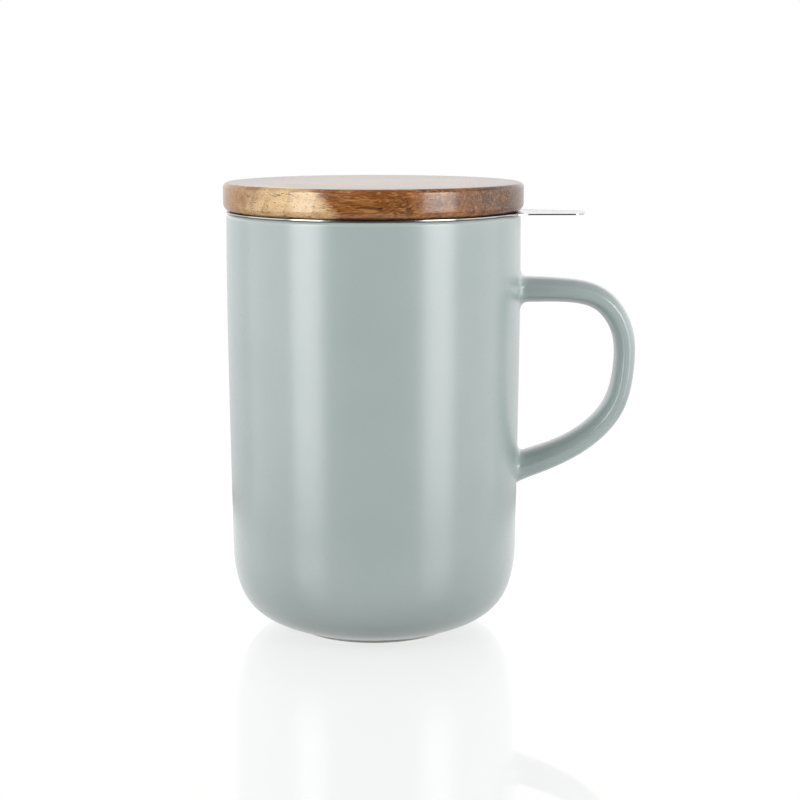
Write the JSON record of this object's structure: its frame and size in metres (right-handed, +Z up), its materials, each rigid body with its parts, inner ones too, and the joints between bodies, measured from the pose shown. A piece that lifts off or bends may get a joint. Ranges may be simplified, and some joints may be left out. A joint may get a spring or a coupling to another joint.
{
  "type": "lidded tea mug with infuser",
  "caption": "Tall cylindrical stoneware mug with a rounded base and loop handle, a drop-in perforated infuser basket with a flat ear, and a lift-off wooden disc lid.",
  "frame": {"origin": "on the mug's axis, in the plane of the foot ring that it stands on", "axes": "+Z up along the mug's axis, +X towards the handle and the infuser's ear, -Y towards the viewer"},
  "size_m": [0.1234, 0.089, 0.1343],
  "materials": {
    "glaze": "satin sage grey glaze",
    "stainless": "brushed stainless sheet",
    "lid_wood": "oiled hardwood",
    "silicone": "translucent food-grade silicone"
  },
  "bodies": {
    "mug": {"mug_body": "glaze", "mug_handle": "glaze"},
    "infuser": {"infuser_rim": "stainless", "strainer_wall": "stainless", "strainer_base": "stainless"},
    "lid": {"lid_disc": "lid_wood", "lid_seal": "silicone"}
  },
  "joints": [
    {"name": "infuser_lift", "type": "slide", "parent": "mug", "child": "infuser", "axis": [0, 0, 1], "range_m": [0, 0.09]},
    {"name": "lid_lift", "type": "slide", "parent": "infuser", "child": "lid", "axis": [0, 0, 1], "range_m": [0, 0.06]}
  ]
}
